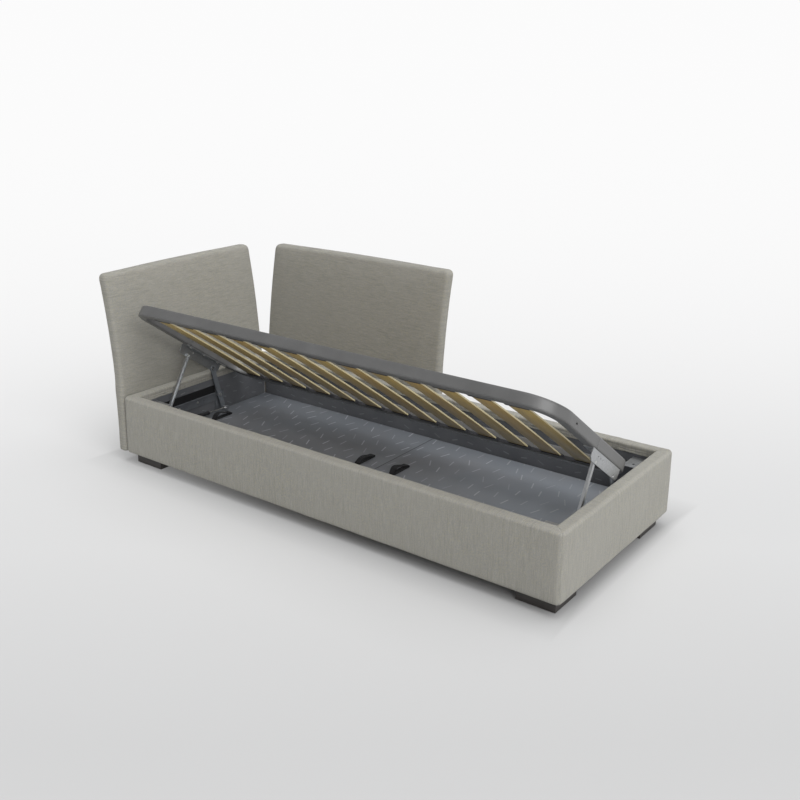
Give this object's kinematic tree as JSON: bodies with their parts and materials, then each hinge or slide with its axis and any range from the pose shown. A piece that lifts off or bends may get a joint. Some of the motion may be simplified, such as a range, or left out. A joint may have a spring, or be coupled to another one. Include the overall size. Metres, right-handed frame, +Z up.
{
  "type": "storage sofa bed",
  "caption": "Single storage sofa bed: upholstered box, end and rear leaning headboards, slatted platform lifted on four-bar arms with gas springs.",
  "frame": {"origin": "on the floor, under the middle of the overall box, headboards included", "axes": "+X along the bed to the foot end, -Y the open long side, +Y the side with the rear headboard, +Z up"},
  "size_m": [2.2514, 1.0314, 0.85],
  "materials": {
    "rail_fabric": "slubbed woven upholstery, upright weave",
    "headboard_fabric": "slubbed woven upholstery, level weave",
    "lining_fabric": "flat dark lining with plain small dashes",
    "floor_laminate": "blue-grey laminated board with plain small dashes",
    "board_wood": "raw particle board and softwood",
    "foot_wood": "dark stained wood, satin",
    "frame_paint": "mid-grey powder coat, fine texture",
    "dark_steel": "dark grey coated steel",
    "galvanised_steel": "galvanised sheet steel",
    "zinc_fasteners": "bright zinc plate",
    "slat_wood": "varnished laminated beech, pale edges",
    "holder_plastic": "light grey moulded plastic",
    "webbing": "black woven webbing",
    "black_paint": "black gloss coat",
    "chromed_rod": "polished"
  },
  "bodies": {
    "base": {"front_rail": "board_wood", "rear_rail": "board_wood", "left_rail": "board_wood", "right_rail": "board_wood", "front_cover": "rail_fabric", "rear_cover": "rail_fabric", "left_cover": "rail_fabric", "right_cover": "rail_fabric", "front_lining": "lining_fabric", "rear_lining": "lining_fabric", "left_lining": "lining_fabric", "right_lining": "lining_fabric", "foot_front_left": "foot_wood", "foot_front_right": "foot_wood", "foot_rear_left": "foot_wood", "foot_rear_right": "foot_wood", "corner_blocks": "board_wood", "floor_cleats": "board_wood", "centre_beam": "board_wood", "corner_plate_front_left": "galvanised_steel", "corner_plate_front_right": "galvanised_steel", "corner_plate_rear_left": "galvanised_steel", "corner_plate_rear_right": "galvanised_steel", "headboard_end_core": "board_wood", "headboard_end_cover": "headboard_fabric", "headboard_side_core": "board_wood", "headboard_side_cover": "headboard_fabric", "headboard_bolts": "zinc_fasteners", "base_bracket_left": "dark_steel", "base_bracket_right": "dark_steel", "wall_screws": "zinc_fasteners", "front_link_pins": "zinc_fasteners", "rear_arm_pins": "zinc_fasteners"},
    "left_panel": {"floor_panel_left": "floor_laminate", "pull_loop_left_middle": "webbing", "pull_loop_left_end": "webbing"},
    "right_panel": {"floor_panel_right": "floor_laminate", "pull_loop_right_middle": "webbing", "pull_loop_right_end": "webbing"},
    "front_links": {"front_link_left": "galvanised_steel", "front_link_right": "galvanised_steel"},
    "platform": {"frame_front": "frame_paint", "frame_rear": "frame_paint", "frame_sleeves": "frame_paint", "slats": "slat_wood", "slat_holder_front": "holder_plastic", "slat_holder_rear": "holder_plastic", "mount_plate_left": "galvanised_steel", "mount_plate_right": "galvanised_steel", "plate_screws": "zinc_fasteners", "link_top_pins": "zinc_fasteners"},
    "rear_arms": {"rear_arm_left": "dark_steel", "rear_arm_right": "dark_steel", "arm_top_bolts": "zinc_fasteners"},
    "gas_cylinders": {"gas_cylinder_left": "black_paint", "gas_cylinder_right": "black_paint"},
    "gas_rods": {"gas_rod_left": "chromed_rod", "gas_rod_right": "chromed_rod"}
  },
  "joints": [
    {"name": "platform_lift", "type": "hinge", "parent": "base", "child": "front_links", "pos_m": [0.06588, -0.34403, 0.1536], "axis": [-1, 0, 0], "range_deg": [0, 47.6], "stiffness_Nm_per_rad": 30, "springref_deg": -95.68},
    {"name": "platform_pivot", "type": "hinge", "parent": "front_links", "child": "platform", "pos_m": [0.06588, -0.18552, 0.43158], "axis": [1, 0, 0], "range_deg": [0, 82.26]},
    {"name": "rear_arm_pivot", "type": "hinge", "parent": "base", "child": "rear_arms", "pos_m": [0.06588, 0.00752, 0.19144], "axis": [-1, 0, 0], "range_deg": [0, 92.81]},
    {"name": "gas_cylinder_pivot", "type": "hinge", "parent": "base", "child": "gas_cylinders", "pos_m": [0.06588, -0.30588, 0.138], "axis": [1, 0, 0], "range_deg": [0, 10.2]},
    {"name": "gas_rod_slide", "type": "slide", "parent": "gas_cylinders", "child": "gas_rods", "axis": [0, -0.9996, 0.0292], "range_m": [0, 0.08057]},
    {"name": "left_panel_lift", "type": "hinge", "parent": "base", "child": "left_panel", "pos_m": [-0.94463, -0.06588, 0.098], "axis": [0, -1, 0], "range_deg": [0, 5]},
    {"name": "right_panel_lift", "type": "hinge", "parent": "base", "child": "right_panel", "pos_m": [1.07638, -0.06588, 0.098], "axis": [0, 1, 0], "range_deg": [0, 5]}
  ],
  "couplings": [
    {"joint": "platform_pivot", "follows": "platform_lift", "ratio": 1.728},
    {"joint": "rear_arm_pivot", "follows": "platform_lift", "ratio": 1.9497},
    {"joint": "gas_cylinder_pivot", "follows": "platform_lift", "ratio": 0.21417},
    {"joint": "gas_rod_slide", "follows": "platform_lift", "m_per_rad": 0.096968}
  ]
}
